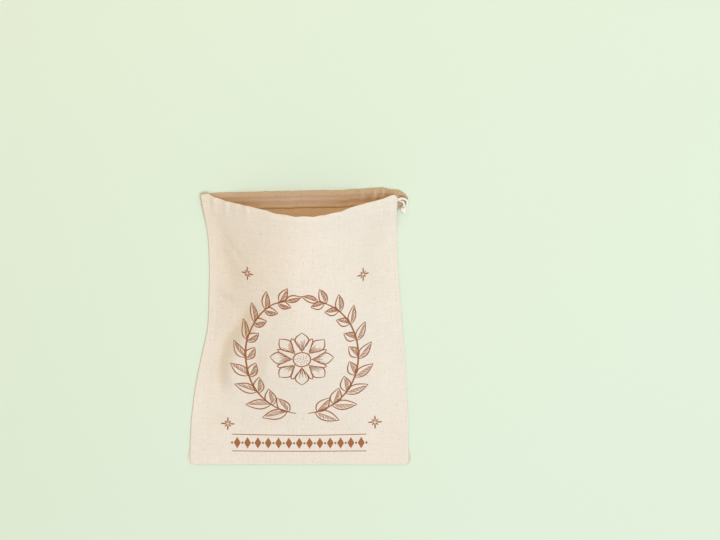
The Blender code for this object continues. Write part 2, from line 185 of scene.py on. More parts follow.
# The casings' inner layers are cut back where the cord passes, and pressed flat beside it
LEFT_CUT = (-112, -106)
RIGHT_CUT = (131, 137)
LIP = 3         # what is left of the layer under the fold of the rim
LEFT_LIP = 2.4  # the back's layer reaches this much further down at the left cut
LOOSE_HEM = 13  # the back's hem isn't stitched so far before the right cut
LEFT_PINCH = (-127, -112)
RIGHT_PINCH = (141, 147)

# Painted shade on the back casing, from its rim to where it lies in the light
OPEN_END_DEPTH = (8, 12)   # beyond the right cut it is darkest below this depth
CASING_PAINTED_SHADE = 0.93         # share of that painted shade at the rim
CASING_FADE = (6.5, 12.5)  # which ends over this depth
GATHER_PAINTED_SHADE = 0.28         # more painted shade between the close gathers
GATHER_CLEAR = 2.2         # and none where a gather is this high
GATHERED = (76, 90)        # the close gathers start here

# Small unevenness of the cloth: height and length of each size of wrinkle
WRINKLES = table(
    "height across down place",
    (0.55, 46, 70, 3.1), (0.30, 19, 27, 17.4), (0.10, 7.5, 9, 41.9),
)
WRINKLE_RISE = 8  # they are full where the front cloth is this high
RIM_WAVE = 1.3    # unevenness of the rims
RIM_WAVE_LENGTH = 13
RIM_WAVE_PLACES = {"front": 0, "back": 9}  # where each rim reads it from the noise

# Rows and columns of the cloths' grids
EDGE_STEPS = (0, 0.2, 0.5, 0.9, 1.5, 2.4)
BOTTOM_ROWS = EDGE_STEPS + (4, 6.5, 10, 14.5, 20, 26)
CASING_ROWS = (
    25, 23.5, 22, 20.5, 19, 17.5, 16, 14.5, 13, 11.5, 10, 8.6, 7.2, 5.9, 4.6, 3.4, 2.3,
)
FOLD_ANGLES = (70, 45, 20, 0, -20, -45, -70)
FLAP_ROWS = (0, 0.05, 0.1, 0.16, 0.23, 0.31, 0.4, 0.5, 0.62, 0.75, 0.88, 1)
FRONT_ROWS = 176
BACK_ROWS = 70
FRONT_COLUMNS = 176
BACK_COLUMNS = 190

# The cord's route outside the casings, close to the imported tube's
FRONT_STRAND = (
    (144.8, 375.2, 4.7), (146.3, 378.2, 5), (147.4, 381.4, 5.9), (147.6, 385.4, 7.2),
    (145.2, 389, 8.8), (141.2, 390.8, 10.2), (137.8, 390.8, 11.2), (134.4, 389.9, 12),
)
LEFT_TURN = (
    (-103.5, 384.2, 13.5), (-107.5, 384.5, 11.6), (-111, 384.8, 10.1), (-113.2, 385.4, 8.3),
    (-113.7, 386.2, 6.2), (-112.8, 387.3, 3.9), (-109.8, 388.6, 2.8), (-104.6, 389.3, 2.7),
)
BACK_STRAND = (
    (131.2, 389.9, 2.8), (134.4, 386.4, 3.1), (138.2, 385.1, 3.6), (141.6, 383.6, 4),
    (143, 380.2, 4.3), (142.5, 376.8, 4.4),
)
FRONT_RUN = (127, -99.5)
BACK_RUN = (-99, 126)
FRONT_RUN_DEPTH = 6.9
BACK_RUN_DEPTH = 7.5
RUN_STEP = 8
CORD_RING_STEP = 0.7  # between the rings of the twisted cord's mesh
CORD_SIDES = 18
CORD_STRANDS = 3
CORD_LAY = 7.5          # length of one full twist
CORD_GROOVE = 0.12      # depth of the grooves, as a share of the radius
STRAND_ROUNDNESS = 0.6  # the smaller, the rounder a strand and the sharper the groove
KNOT_CENTRE = (142.4, 372.2, 4.4)
KNOT_SPREAD = (0.95, 1.25, 1.5)
KNOT_STRAND = 1.8  # radius of a strand as it is pulled flat in the knot
KNOT_POINTS = 150

# Sewing: short stitches along a row of each cloth's grid, clear of its sewn edges
FRONT_STITCH_ROW = ("casing", 22)
BACK_STITCH_ROW = ("flap", 0.88)
STITCH_MARGIN = 8  # columns
STITCH_LENGTH = 2.3
STITCH_GAP = 0.9
STITCH_RADIUS = 0.2
STITCH_SIDES = 6
STITCH_LOOK_AHEAD = 0.5  # the stitch's direction is read over this length
STITCH_GRAIN = 0.3       # millimetres of thread between its points, for the fibres
# A stitch's rings: share of its length, lift over the cloth and size, both in radii
STITCH_RINGS = table(
    "share lift swell",
    (0, -0.6, 0.15), (0.12, 0.6, 0.8), (0.5, 0.6, 1), (0.88, 0.6, 0.8), (1, -0.6, 0.15),
)

# The camera: the photograph's frame, the bag's place in it and the angle of view
FRAME_WIDTH = 720
FRAME_HEIGHT = 540
CENTRE_LINE_PX = 299     # the bag's middle line
BOTTOM_EDGE_PX = 465.4   # the bag's bottom edge
PIXEL = 1.364  # millimetres in a pixel
TILT = math.radians(20)  # from straight down towards the mouth
CAMERA_DISTANCE = 20     # metres
SENSOR = 36

# The studio, in metres and watts
LAMPS = table(
    "name place target size energy colour",
    ("key", (1.56, -0.4, 4.28), (0, 0, 0), 3, 151, (0.562, 0.771, 1)),
    ("top", (-0.3, 2.3, 3.8), (0, 0.1, 0), 2.4, 42.5, (1, 0.72, 0.36)),
    ("mouth", (-0.25, 1.6, 0.5), (0, 0.2, 0), 1, 2, (1, 0.87, 0.72)),
)
SKY = (1, 0.85, 0.65)
SKY_STRENGTH = 0.59
FLOOR_SIZE = 8
FLOOR_DROP = 0.0002  # below the bag's lowest point


def blend(low, high, value):
    """0 below low, 1 above high and a smooth step between them."""
    share = np.clip((np.asarray(value, float) - low) / (high - low), 0, 1)
    return share * share * (3 - 2 * share)


def bump(distance, half_width):
    """A round bump of height 1 that ends at half_width."""
    share = np.clip(np.abs(distance) / half_width, 0, 1)
    return 0.5 + 0.5 * np.cos(math.pi * share)


def along(rows, column, at):
    """Read a column of a table at values of its first one, smoothly and without overshoot."""
    keys = np.array([row[0] for row in rows], float)
    values = np.array([getattr(row, column) for row in rows], float)
    at = np.clip(np.asarray(at, float), keys[0], keys[-1])
    rises = np.diff(values) / np.diff(keys)
    slopes = np.zeros(len(keys))
    slopes[0], slopes[-1] = rises[0], rises[-1]
    same = rises[:-1] * rises[1:] > 0
    slopes[1:-1][same] = (2 * rises[:-1] * rises[1:])[same] / (rises[:-1] + rises[1:])[same]
    i = np.clip(np.searchsorted(keys, at, side="right") - 1, 0, len(rises) - 1)
    width = keys[i + 1] - keys[i]
    t = (at - keys[i]) / width
    return ((1 + 2 * t) * (1 - t) ** 2 * values[i] + t * (1 - t) ** 2 * width * slopes[i]
            + t * t * (3 - 2 * t) * values[i + 1] - t * t * (1 - t) * width * slopes[i + 1])


def unit(vectors):
    return vectors / np.linalg.norm(vectors, axis=-1, keepdims=True)


def walked(points, axis=0):
    """How far each point lies along its line, for one line or for each line of a grid."""
    steps = np.linalg.norm(np.diff(points, axis=axis), axis=-1)
    start = np.zeros_like(np.take(steps, [0], axis=axis))
    return np.concatenate([start, np.cumsum(steps, axis=axis)], axis=axis)


def section(column, y):
    return along(SECTIONS, column, y)


def cloth_edges(side, y):
    """The x of a cloth's left and right edge, with round bottom corners."""
    below = np.clip(CORNER_RADIUS - np.asarray(y, float), 0, CORNER_RADIUS)
    inset = CORNER_RADIUS - np.sqrt(CORNER_RADIUS ** 2 - below ** 2)
    left, right = section("left", y) + inset, section("right", y) - inset
    if side == "front":
        return left, right
    peek = PEEK_OUT * bump(y - PEEK_Y, PEEK_REACH)
    return left - peek, right + peek + along(RIGHT_FLARE, "out", y)


def seam_inset(side, x, y):
    """Distance of points of a cloth from its nearest sewn edge."""
    left, right = cloth_edges(side, y)
    return np.minimum(np.minimum(x - left, right - x), y)


def rim_depth(side, x, y):
    """How far below the even line of its rim a point lies."""
    return along(RIMS[side], "y", x) - y


def rim_line(side, x):
    """The y of a rim, with a small unevenness from smooth noise."""
    place = RIM_WAVE_PLACES[side]
    wave = [noise.noise(Vector((a / RIM_WAVE_LENGTH, place, 0))) for a in x]
    return rim_depth(side, x, 0) + RIM_WAVE * np.array(wave)


def route_distance(route, x, y):
    """Distance to a route, and how far along it and from its end the nearest point is."""
    best = np.full(np.shape(x), np.inf)
    place = np.zeros(np.shape(x))
    passed = 0
    for (ax, ay), (bx, by) in zip(route, route[1:]):
        length = math.hypot(bx - ax, by - ay)
        share = np.clip(((x - ax) * (bx - ax) + (y - ay) * (by - ay)) / length ** 2, 0, 1)
        distance = np.hypot(x - ax - share * (bx - ax), y - ay - share * (by - ay))
        place = np.where(distance < best, passed + share * length, place)
        best = np.minimum(best, distance)
        passed += length
    return best, place, passed - place


def fold_height(x, y):
    total = 0
    for fold in FOLDS:
        distance, start, end = route_distance(fold.route, x, y)
        fade = blend(0, fold.fade, start) * blend(0, fold.fade, end)
        total = total + fold.height * fade * np.exp(-(distance / fold.half_width) ** 2)
    return total


def puckers(rows, x):
    return sum(pucker.height * bump(x - pucker.x, pucker.half_width) for pucker in rows)


def arch(x, y):
    """Share of the crown that the front cloth has at x: 1 at its top, 0 at its edges."""
    left, right = cloth_edges("front", y)
    top = section("crown_x", y)
    side = (x - top) / np.where(x > top, right - top, top - left)
    return np.maximum(0, np.cos(0.5 * math.pi * np.minimum(1, np.abs(side)))) ** ARCH_POWER


def arch_height(x, y):
    return section("crown", y) * arch(x, y)


def tunnel(x, side):
    """Clear height of the casing near the rim, pressed flat beside the left seam."""
    pinch = blend(*LEFT_PINCH, x)
    if side == "back":
        pinch = pinch * (1 - blend(*RIGHT_PINCH, x))
    return HEM_GAP + (TUNNEL_HEIGHT - HEM_GAP) * pinch


def fold_radius(x, side):
    return CLOTH + 0.5 * (HEM_GAP + (tunnel(x, side) - HEM_GAP) * RIM_SHARE)


def hem_gap(x, depth, side):
    """Clear height between the two layers of the hem, at a distance from the rim."""
    stitched = blend(TUNNEL[1], STITCH_LINE, depth)
    if side == "back":
        stitched = stitched * (1 - blend(RIGHT_CUT[0] - LOOSE_HEM, RIGHT_CUT[0], x))
    swell = RIM_SHARE + (1 - RIM_SHARE) * blend(0, TUNNEL[0], depth - fold_radius(x, side))
    return HEM_GAP + (tunnel(x, side) - HEM_GAP) * swell * (1 - stitched)


def flap_depth(x, side):
    """Depth of the turned-in layer, cut back where the cord passes."""
    whole = blend(*LEFT_CUT, x)
    lip = fold_radius(x, side) + LIP
    if side == "back":
        lip = lip + LEFT_LIP * (1 - whole)
        whole = whole * (1 - blend(*RIGHT_CUT, x))
    return lip + (CASING_DEPTH - lip) * whole


def back_ripple(x, depth):
    """Lift of the back cloth's upper face, and the share of it that its lower face has."""
    lift = puckers(BACK_GATHERS, x) * (1 - blend(GATHER_FROM, GATHER_REACH, depth))
    return lift, blend(FLAT_FROM_RIM, STITCH_LINE, depth)


def front_pucker(x, y, depth):
    """Lift of the front cloth's upper face, and the share of it that its lower face has."""
    near_rim = 1 - blend(0, PUCKER_REACH, depth)
    lift = puckers(FRONT_PUCKERS, x) * near_rim * blend(0, PUCKER_RISE, arch_height(x, y))
    return lift, blend(TUNNEL[1], STITCH_LINE, depth)


def layers(x, depth, side):
    """Thickness of a cloth, hem and casing included, easing down below the hem."""
    hem = CLOTH + hem_gap(x, depth, side)
    return CLOTH + hem * (1 - blend(CASING_DEPTH, CASING_DEPTH + HEM_STEP, depth))


def wrinkles(x, y):
    """Small uneven wrinkles of handled linen, from smooth noise."""
    total = np.zeros(len(x))
    for wrinkle in WRINKLES:
        total += wrinkle.height * np.array([
            noise.noise(Vector((a / wrinkle.across, b / wrinkle.down, wrinkle.place)))
            for a, b in zip(x, y)
        ])
    return total


def rest_height(x, y):
    """Height of the front cloth's outer face where it lies on the back cloth."""
    back_depth = rim_depth("back", x, y)
    under = layers(x, back_depth, "back") + back_ripple(x, back_depth)[0]
    return under + PIECE_GAP + layers(x, rim_depth("front", x, y), "front")


def front_height(x, y):
    """Height of the front cloth's outer face: its arch and folds, held up by what lies below."""
    left, right = cloth_edges("front", y)
    share = (x - left) / (right - left)
    base = section("base_left", y) * (1 - share) + section("base_right", y) * share
    rise = arch_height(x, y)
    folds = fold_height(x, y) * blend(0, FOLD_RISE, rise)
    over_cord = bump(rim_depth("front", x, y) - FRONT_RUN_DEPTH, FRONT_RUN_DEPTH)
    folds = folds + CORD_BULGE * over_cord * blend(*LEFT_PINCH, x)
    above = base + rise + folds - rest_height(x, y)
    lift = np.maximum(0, 0.5 * (above + np.hypot(above, SOFT_TOUCH)) - 0.5 * SOFT_TOUCH)
    return rest_height(x, y) + lift


def front_face(x, y):
    """Height of the front cloth's outer face with its small wrinkles."""
    return front_height(x, y) + wrinkles(x, y) * blend(0, WRINKLE_RISE, arch_height(x, y))


def steepness(x, y):
    """How much longer a plumb line through the front cloth's layers is than its thickness."""
    step = 1
    slope = (front_height(x + step, y) - front_height(x - step, y)) / (2 * step)
    return np.hypot(1, slope)


def stations(row_count):
    """The rows of a cloth from the bottom seam over the rim to the end of the hem."""
    made = [("seam", y) for y in BOTTOM_ROWS]
    made += [("body", (row + 1) / row_count) for row in range(row_count - 1)]
    made += [("casing", depth) for depth in CASING_ROWS]
    made += [("turn", 90)]
    made += [("turn", angle) for angle in FOLD_ANGLES]
    made += [("flap", share) for share in FLAP_ROWS]
    return made


def column_places(count, width):
    """Where the columns lie, as shares of the width, closer at both sewn edges."""
    edge = [step / width for step in EDGE_STEPS]
    inner = np.linspace(edge[-1], 1 - edge[-1], count - 2 * len(edge) + 2)[1:-1]
    return np.array(edge + list(inner) + [1 - place for place in reversed(edge)])


def rolled(distance):
    """Share of a sewn edge's height that is lost at a distance from the edge."""
    near = np.clip(1 - np.asarray(distance, float) / EDGE_ROUND, 0, 1)
    return 1 - np.sqrt(1 - near ** 2)


def cloth_row(side, across, station):
    """The points of one row of a cloth's outer face."""
    kind, value = station
    rim_x = RIMS[side][0].x + (RIMS[side][-1].x - RIMS[side][0].x) * across
    rim = rim_line(side, rim_x)
    radius = fold_radius(rim_x, side)
    if kind == "seam":
        y = value + 0 * across
    elif kind == "body":
        y = BOTTOM_ROWS[-1] + (rim - CASING_DEPTH - BOTTOM_ROWS[-1]) * value
    elif kind == "casing":
        y = rim - value
    elif kind == "turn":
        y = rim - radius
    else:
        y = rim - radius - (flap_depth(rim_x, side) - radius) * value
    left, right = cloth_edges(side, y)
    x = left + (right - left) * across
    depth = rim - y
    inset = seam_inset(side, x, y)
    if side == "front":
        stretch = steepness(x, y)
        lift, lower_share = front_pucker(x, y, depth)
        z = front_face(x, y) + lift + ALLOWANCE_LIFT * (1 - blend(*ALLOWANCE, inset))
        z = z - rolled(inset) * 0.5 * (EDGE_HEIGHT - SEAM_SLIT)
        inward = -1
    else:
        stretch = 1
        lift, lower_share = back_ripple(x, depth)
        z = lift * lower_share + rolled(inset) * 0.5 * (EDGE_HEIGHT - SEAM_SLIT)
        inward = 1
    if kind == "turn":
        swing = math.radians(90 - value)
        height = 2 * radius * stretch + lift * (1 - lower_share)
        y = y + radius * math.sin(swing)
        z = z + inward * height * 0.5 * (1 - math.cos(swing))
    elif kind == "flap":
        hem = (2 * CLOTH + hem_gap(x, depth, side)) * stretch
        z = z + inward * (hem + lift * (1 - lower_share))
    return np.stack([x, y, z], axis=1)


def cloth_points(side, row_count, column_count):
    """The whole grid of a cloth's outer face: rows, columns, xyz."""
    across = column_places(column_count, section("right", 0) - section("left", 0))
    return np.array([cloth_row(side, across, station) for station in stations(row_count)])


def painted_shade_share(side, grid):
    """Share of the painted shade: how deep the front's folds are, or the back casing's painted shade.
    """
    x, y = grid[:, :, 0], grid[:, :, 1]
    if side == "front":
        return np.clip(-fold_height(x, y) / DEEP_FOLD, 0, 1)
    depth = rim_depth("back", x, y)
    open_end = blend(*RIGHT_CUT, x) * blend(*OPEN_END_DEPTH, depth)
    valley = 1 - np.clip(puckers(BACK_GATHERS, x) / GATHER_CLEAR, 0, 1)
    rim_painted_shade = CASING_PAINTED_SHADE * (1 - blend(*CASING_FADE, depth))
    return np.maximum(open_end, rim_painted_shade + GATHER_PAINTED_SHADE * valley * blend(*GATHERED, x))


def weave_places(side, grid):
    """Where each point lies in the flat cloth, across from the middle line and up from the bottom.

    The third value is the point's share of the painted shade.
    """
    across = walked(grid, axis=1)
    middle = np.array([np.interp(0, row[:, 0], places) for row, places in zip(grid, across)])
    return np.stack([across - middle[:, None], walked(grid), painted_shade_share(side, grid)], axis=2)


def world(points):
    """Millimetres from the bottom seam to metres in the shared frame."""
    return (np.asarray(points, float) - (0, 0.5 * BAG_LENGTH, 0)) * MM


def add_object(name, data):
    made = bpy.data.objects.new(name, data)
    bpy.context.scene.collection.objects.link(made)
    return made


def add_piece(name, points, faces, weave, slot_name, *materials, smooth=True):
    """A visible piece of the bag, with each point's place in the flat cloth or along the cord."""
    mesh = bpy.data.meshes.new(name)
    mesh.from_pydata([tuple(point) for point in world(points)], [], faces)
    mesh.update()
    if smooth:
        mesh.shade_smooth()
    attribute = mesh.attributes.new("weave", "FLOAT_VECTOR", "POINT")
    attribute.data.foreach_set("vector", np.asarray(weave, np.float32).ravel())
    for material in materials:
        mesh.materials.append(material)
    piece = add_object(name, mesh)
    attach(piece, "root")
    return piece


def grid_faces(rows, columns, flip, closed=False):
    """Faces of a grid of points, as a sheet or, if closed, as a tube."""
    faces = []
    for row in range(rows - 1):
        for column in range(columns if closed else columns - 1):
            beside = (column + 1) % columns
            face = (row * columns + column, row * columns + beside,
                    (row + 1) * columns + beside, (row + 1) * columns + column)
            faces.append(tuple(reversed(face)) if flip else face)
    return faces


def tube_faces(rings, sides, flip):
    """Faces of a tube with a flat cap at both ends."""
    start = tuple(range(sides))
    end = tuple(range((rings - 1) * sides, rings * sides))
    caps = [start, end[::-1]] if flip else [start[::-1], end]
    return grid_faces(rings, sides, flip, closed=True) + caps


def make_cloth(side, row_count, column_count, outer, inner):
    """A cloth as one sheet from the bottom seam over the rim to the end of the hem."""
    grid = cloth_points(side, row_count, column_count)
    weave = weave_places(side, grid)
    rows, columns = grid.shape[:2]
    cloth = add_piece(side + "_cloth", grid.reshape(-1, 3), grid_faces(rows, columns, side == "back"),
                      weave.reshape(-1, 3), side + "_linen", outer, inner, outer)
    # Material 1 is the inner one, the linen with painted shade: the turned-in hem has it, and the
    # solidify gives it to the cloth's other face
    turned_in = stations(row_count).index(("turn", 0)) * (columns - 1)
    for polygon in cloth.data.polygons[turned_in:]:
        polygon.material_index = 1
    inset = seam_inset(side, grid[:, :, 0], grid[:, :, 1])
    lit = (inset < LIT_EDGE) & (grid[:, :, 1] < PEEK_Y + PEEK_REACH)
    for index in np.flatnonzero(lit[:-1, :-1]):
        cloth.data.polygons[index].material_index = 2
    whole = cloth.vertex_groups.new(name="whole thickness")
    for index, share in enumerate(blend(0, SEAM_TAPER, inset).ravel()):
        whole.add([index], float(share), "REPLACE")
    thickness = cloth.modifiers.new("cloth", "SOLIDIFY")
    thickness.thickness = CLOTH * MM
    thickness.offset = -1
    thickness.material_offset = 1
    thickness.vertex_group = whole.name
    thickness.thickness_vertex_group = SEAM_THINNEST
    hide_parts(side + "_panel")
    return cloth, grid, weave


# Materials

LINEN = (0.781, 0.701, 0.612)
# painted shade: the inside faces' linen, darker and browner as in the bag's shade
SHADED_INSIDE_LINEN = (0.885, 0.670, 0.500)
FOLD_PAINTED_SHADE = (0.950, 0.900, 0.810)    # painted shade: the linen's colour times this is a deep fold's
OPEN_END_PAINTED_SHADE = (0.600, 0.558, 0.490)  # and the inside's times this is the casing's darkest painted shade
FLECK = (0.330, 0.200, 0.100)
INK = (0.310, 0.105, 0.036)
INK_WORN = (0.440, 0.185, 0.080)
COTTON = (0.915, 0.850, 0.775)
COTTON_SHADE = (0.760, 0.665, 0.545)
FLOOR = (0.680, 0.769, 0.637)
SPECULAR = 0.25
SHEEN_ROUGHNESS = 0.6
THREAD_PITCH = 0.62   # millimetres from thread to thread
THREAD_WOBBLE = 0.9   # a thread strays up to this far from its line, in pitches
WOBBLE_RATES = ((0.9, 0.12), (0.12, 0.9))  # of the threads up the cloth and across it
WOBBLE_PLACE = 5  # where the wobble and the threads' tones are read from the noise
TONE_PLACE = 0.37
THREAD_CROWN = 0.45  # share of a thread's height that it has from passing over another
WEAVE_BUMP = 0.00012  # metres
WEAVE_BUMP_STRENGTH = 0.6
FIBRE_BUMP = 0.00008
FIBRE_BUMP_STRENGTH = 0.5
WEAVE_TONE = 0.12  # how far the weave's height and each thread's own tone change the colour
THREAD_TONE = 0.06
FLECK_STRENGTH = 0.62
INK_COVER = 1.25  # above 1 the ink is a little worn on the threads' crowns too
INK_WEAR = 0.9
INK_WEAR_ROUND = 0.2
FIBRE_SHADE = 0.9

# Uneven tones of the linen: rates across and down, place in the noise, detail and strength
MOTTLES = table(
    "across down shift detail amount",
    (0.55, 0.045, 11, 2, 0.08), (0.045, 0.55, 23, 2, 0.08),
    (0.28, 0.28, 31, 4, 0.11), (0.018, 0.022, 47, 2, 0.05),
)
# Seed flecks, dark fibres and fibres across them; share is how many of the places hold one
SPECKS = table(
    "spacing size stretch share shift",
    (10, 0.48, 0.6, 0.7, 3.7), (15, 0.26, 0.2, 0.5, 8.1), (3.75, 0.24, 4, 0.12, 1.9),
)


def add_node(place, kind, **settings):
    """A new shader node in the tree of a socket, and its settings."""
    node = place.id_data.nodes.new("ShaderNode" + kind)
    for setting, value in settings.items():
        setattr(node, setting, value)
    return node


def fill(sockets, *values):
    """Give sockets their values: constants or other nodes' outputs."""
    for socket, value in zip(sockets, values):
        if isinstance(value, bpy.types.NodeSocket):
            value.id_data.links.new(value, socket)
        else:
            socket.default_value = (*value, 1) if socket.type == "RGBA" else value


def calculate(operation, *values):
    """A math node, in the tree of the sockets among its values."""
    place = next(value for value in values if isinstance(value, bpy.types.NodeSocket))
    node = add_node(place, "Math", operation=operation)
    fill(node.inputs, *values)
    return node.outputs[0]


def times(first, second):
    return calculate("MULTIPLY", first, second)


def plus(first, second):
    return calculate("ADD", first, second)


def pattern(place, kind, across, down, shift, **settings):
    """A flat texture node that reads the place in the cloth, scaled apart across and down."""
    spread = add_node(place, "VectorMath", operation="MULTIPLY_ADD")
    fill(spread.inputs, place, (across, down, 1), (shift, 2.3 * shift, 0))
    node = add_node(place, kind, **settings)
    fill((node.inputs["Vector"], node.inputs["Scale"]), spread.outputs[0], 1)
    return node


def noise_value(place, across, down, shift, detail=2):
    node = pattern(place, "TexNoise", across, down, shift, noise_dimensions="2D")
    node.inputs["Detail"].default_value = detail
    return node.outputs["Fac"]


def specks(place, kind):
    """A mask of scattered specks: up to 1 inside, 0 outside."""
    node = pattern(place, "TexVoronoi", 1 / kind.spacing, kind.stretch / kind.spacing, kind.shift,
                   voronoi_dimensions="2D")
    inside = calculate("LESS_THAN", node.outputs["Distance"], kind.size / kind.spacing)
    split = add_node(place, "SeparateColor")
    fill(split.inputs, node.outputs["Color"])
    chosen = calculate("LESS_THAN", split.outputs[0], kind.share)
    return times(inside, times(chosen, split.outputs[1]))


def mixed(share, first, second):
    """A mix of two colours, which are constants or other nodes' outputs."""
    node = add_node(share, "Mix", data_type="RGBA")
    fill((node.inputs[0], node.inputs[6], node.inputs[7]), share, first, second)
    return node.outputs[2]


def coordinates(place):
    split = add_node(place, "SeparateXYZ")
    fill(split.inputs, place)
    return split.outputs


def of_upper(pair, over, under):
    """The value of the thread that lies on top."""
    return plus(times(pair[0], over), times(pair[1], under))


def weave_pattern(place):
    """Height of a plain weave of uneven threads from 0 to 1, and each visible thread's own tone."""
    numbers, swells = [], []
    for position, rates in zip(coordinates(place), WOBBLE_RATES):
        wobble = times(noise_value(place, *rates, WOBBLE_PLACE), THREAD_WOBBLE)
        count = plus(calculate("DIVIDE", position, THREAD_PITCH), wobble)
        numbers.append(calculate("FLOOR", count))
        swells.append(calculate("SINE", times(calculate("FRACT", count), math.pi)))
    over = calculate("PINGPONG", plus(*numbers), 1)
    under = calculate("SUBTRACT", 1, over)
    heights, tones = [], []
    for own, crossing in ((0, 1), (1, 0)):
        bulge = calculate("MULTIPLY_ADD", swells[crossing], THREAD_CROWN, 1 - THREAD_CROWN)
        heights.append(times(swells[own], bulge))
        tone = add_node(place, "TexWhiteNoise", noise_dimensions="1D")
        fill((tone.inputs["W"],), plus(numbers[own], TONE_PLACE + own))
        tones.append(tone.outputs["Value"])
    return of_upper(heights, over, under), of_upper(tones, over, under)


def new_material(name, roughness, sheen):
    """A matt material and its shader's sockets."""
    material = bpy.data.materials.new(name)
    material.use_nodes = True
    sockets = material.node_tree.nodes["Principled BSDF"].inputs
    sockets["Roughness"].default_value = roughness
    sockets["Metallic"].default_value = 0
    sockets["Specular IOR Level"].default_value = SPECULAR
    sockets["Sheen Weight"].default_value = sheen
    sockets["Sheen Roughness"].default_value = SHEEN_ROUGHNESS
    return material, sockets


def cloth_place(sockets):
    """The place in the flat cloth, in millimetres, and the point's share of painted shade."""
    node = add_node(sockets["Normal"], "Attribute", attribute_type="GEOMETRY", attribute_name="weave")
    return node.outputs["Vector"]


def dress(sockets, colour, height, distance, strength):
    """Give a shader its colour, and a bump whose full height is distance, in metres."""
    node = add_node(height, "Bump")
    fill((node.inputs["Strength"], node.inputs["Distance"], node.inputs["Height"]),
         strength, distance, height)
    fill((sockets["Base Color"], sockets["Normal"]), colour, node.outputs["Normal"])


def tone_factor(parts):
    """1 plus a sum of uneven values, each swinging around its middle by its own amount."""
    total = 1 - 0.5 * sum(amount for _, amount in parts)
    for value, amount in parts:
        total = calculate("MULTIPLY_ADD", value, amount, total)
    return total


def linen_material(name, colour, painted_shade_tint):
    """Undyed linen: plain weave with uneven threads, soft mottling, seed flecks and dark fibres, and
    painted shade mixed in by each point's share.
    """
    material, sockets = new_material(name, roughness=0.88, sheen=0.15)
    place = cloth_place(sockets)
    height, thread_tone = weave_pattern(place)
    parts = [(height, WEAVE_TONE), (thread_tone, THREAD_TONE)]
    parts += [(noise_value(place, *mottle[:4]), mottle.amount) for mottle in MOTTLES]
    shaded_colour = tuple(a * b for a, b in zip(colour, painted_shade_tint))
    cream = add_node(place, "VectorMath", operation="SCALE")
    fill((cream.inputs["Vector"], cream.inputs["Scale"]),
         mixed(coordinates(place)["Z"], colour, shaded_colour), tone_factor(parts))
    dark = specks(place, SPECKS[0])
    for kind in SPECKS[1:]:
        dark = calculate("MAXIMUM", dark, specks(place, kind))
    linen = mixed(times(dark, FLECK_STRENGTH), cream.outputs[0], FLECK)
    dress(sockets, linen, height, WEAVE_BUMP, WEAVE_BUMP_STRENGTH)
    return material


def ink_material():
    """Brown screen print that the weave shows through."""
    material, sockets = new_material("brown_ink", roughness=0.8, sheen=0.05)
    place = cloth_place(sockets)
    height = weave_pattern(place)[0]
    patches = noise_value(place, across=0.6, down=0.6, shift=61, detail=4)
    thin = times(patches, calculate("SUBTRACT", INK_COVER, height))
    worn = calculate("SMOOTH_MIN", times(thin, INK_WEAR), 1, INK_WEAR_ROUND)
    dress(sockets, mixed(worn, INK, INK_WORN), height, WEAVE_BUMP, WEAVE_BUMP_STRENGTH)
    return material


def cotton_material(name, colour):
    """Cotton cord or thread: fine fibres along the twist."""
    material, sockets = new_material(name, roughness=0.85, sheen=0.2)
    place = cloth_place(sockets)
    fibres = noise_value(place, across=5, down=0.7, shift=2, detail=3)
    mottle = noise_value(place, across=0.6, down=0.3, shift=9)
    shade = times(times(fibres, mottle), FIBRE_SHADE)
    dress(sockets, mixed(shade, colour, COTTON_SHADE), fibres, FIBRE_BUMP, FIBRE_BUMP_STRENGTH)
    return material


# The print: a wreath of leaves round a flower, four small stars and a band of lozenges

Stroke = namedtuple("Stroke", "points width shape")
OUTLINE = 1.9  # widths of strokes
HATCH = 0.95
STEM = 2.6
PEN_TIP = 0.28  # share of the width that a pen's stroke has without pressure
PEN_SPAN = (0.08, 0.94)
PEN_SWELL = 0.7
STROKE_STEP = 1.6  # between the points of a stroke
PRINT_LIFT = 0.09  # the ink's upper face over the cloth
INK_THICKNESS = 0.05
DESIGN_SEED = 4

WREATH_CENTRE = (4, 176)
WREATH_RADII = (80, 94)
WREATH_TURNS = (-84, 74)  # degrees
STEM_POINTS = 90
LEAF_PLACES = range(4, STEM_POINTS, 10)
LEAF_LENGTH = 38
LEAF_WIDTH = 16
LEAF_SHRINK = 0.35        # the leaves get smaller along the stem
LEAF_LEAN = (0.62, 0.76)  # radians from the stem, at least and at most
INNER_LEAF = 0.75         # shares of the leaf's length
OUTER_LEAF = 0.95
END_LEAF = (0.62, 0.6)  # and of length and width, for the leaf at a stem's end
LEAF_BULGE = 0.8        # below 1 a leaf is widest before its middle
MIDRIB = 0.82
MIDRIB_BOW = 0.02
LEAF_HATCHES = (0.12, 0.8, 0.065)  # along the midrib: from, to, step
HATCH_REACH = (0.55, 0.95)         # towards the leaf's edge, at least and at most
HATCH_SLANT = 0.13
HATCH_BOW = 0.05

# The flower, in shares of its radius
FLOWER_RADIUS = 44
PETALS = 8
PETAL_POINTS = 14
PETAL_ROOT = 0.3
PETAL_WIDTH = 0.25
PETAL_BULGE = 1.5  # above 1 a petal is widest beyond its middle
PETAL_TAPER = 0.25
PETAL_HATCHES = (-1.5, -0.9, -0.3, 0.3, 0.9, 1.5)
PETAL_HATCH_ROOT = 0.36
PETAL_HATCH_LENGTH = (0.2, 0.4)  # at least and at most
PETAL_HATCH_SPREAD = (0.035, 0.06)  # between the hatches' roots, and how far they then part
SMALL_PETAL = (0.62, 0.84)
SMALL_PETAL_WIDTH = 0.09
EYE_RIM = 0.27  # the ring round the dotted middle, and the middle
EYE = 0.2
EYE_POINTS = 32
EYE_DOTS = 19
EYE_DOT = (0.9, 1.7)  # half length and width, in millimetres
GOLDEN_TURN = 2.4

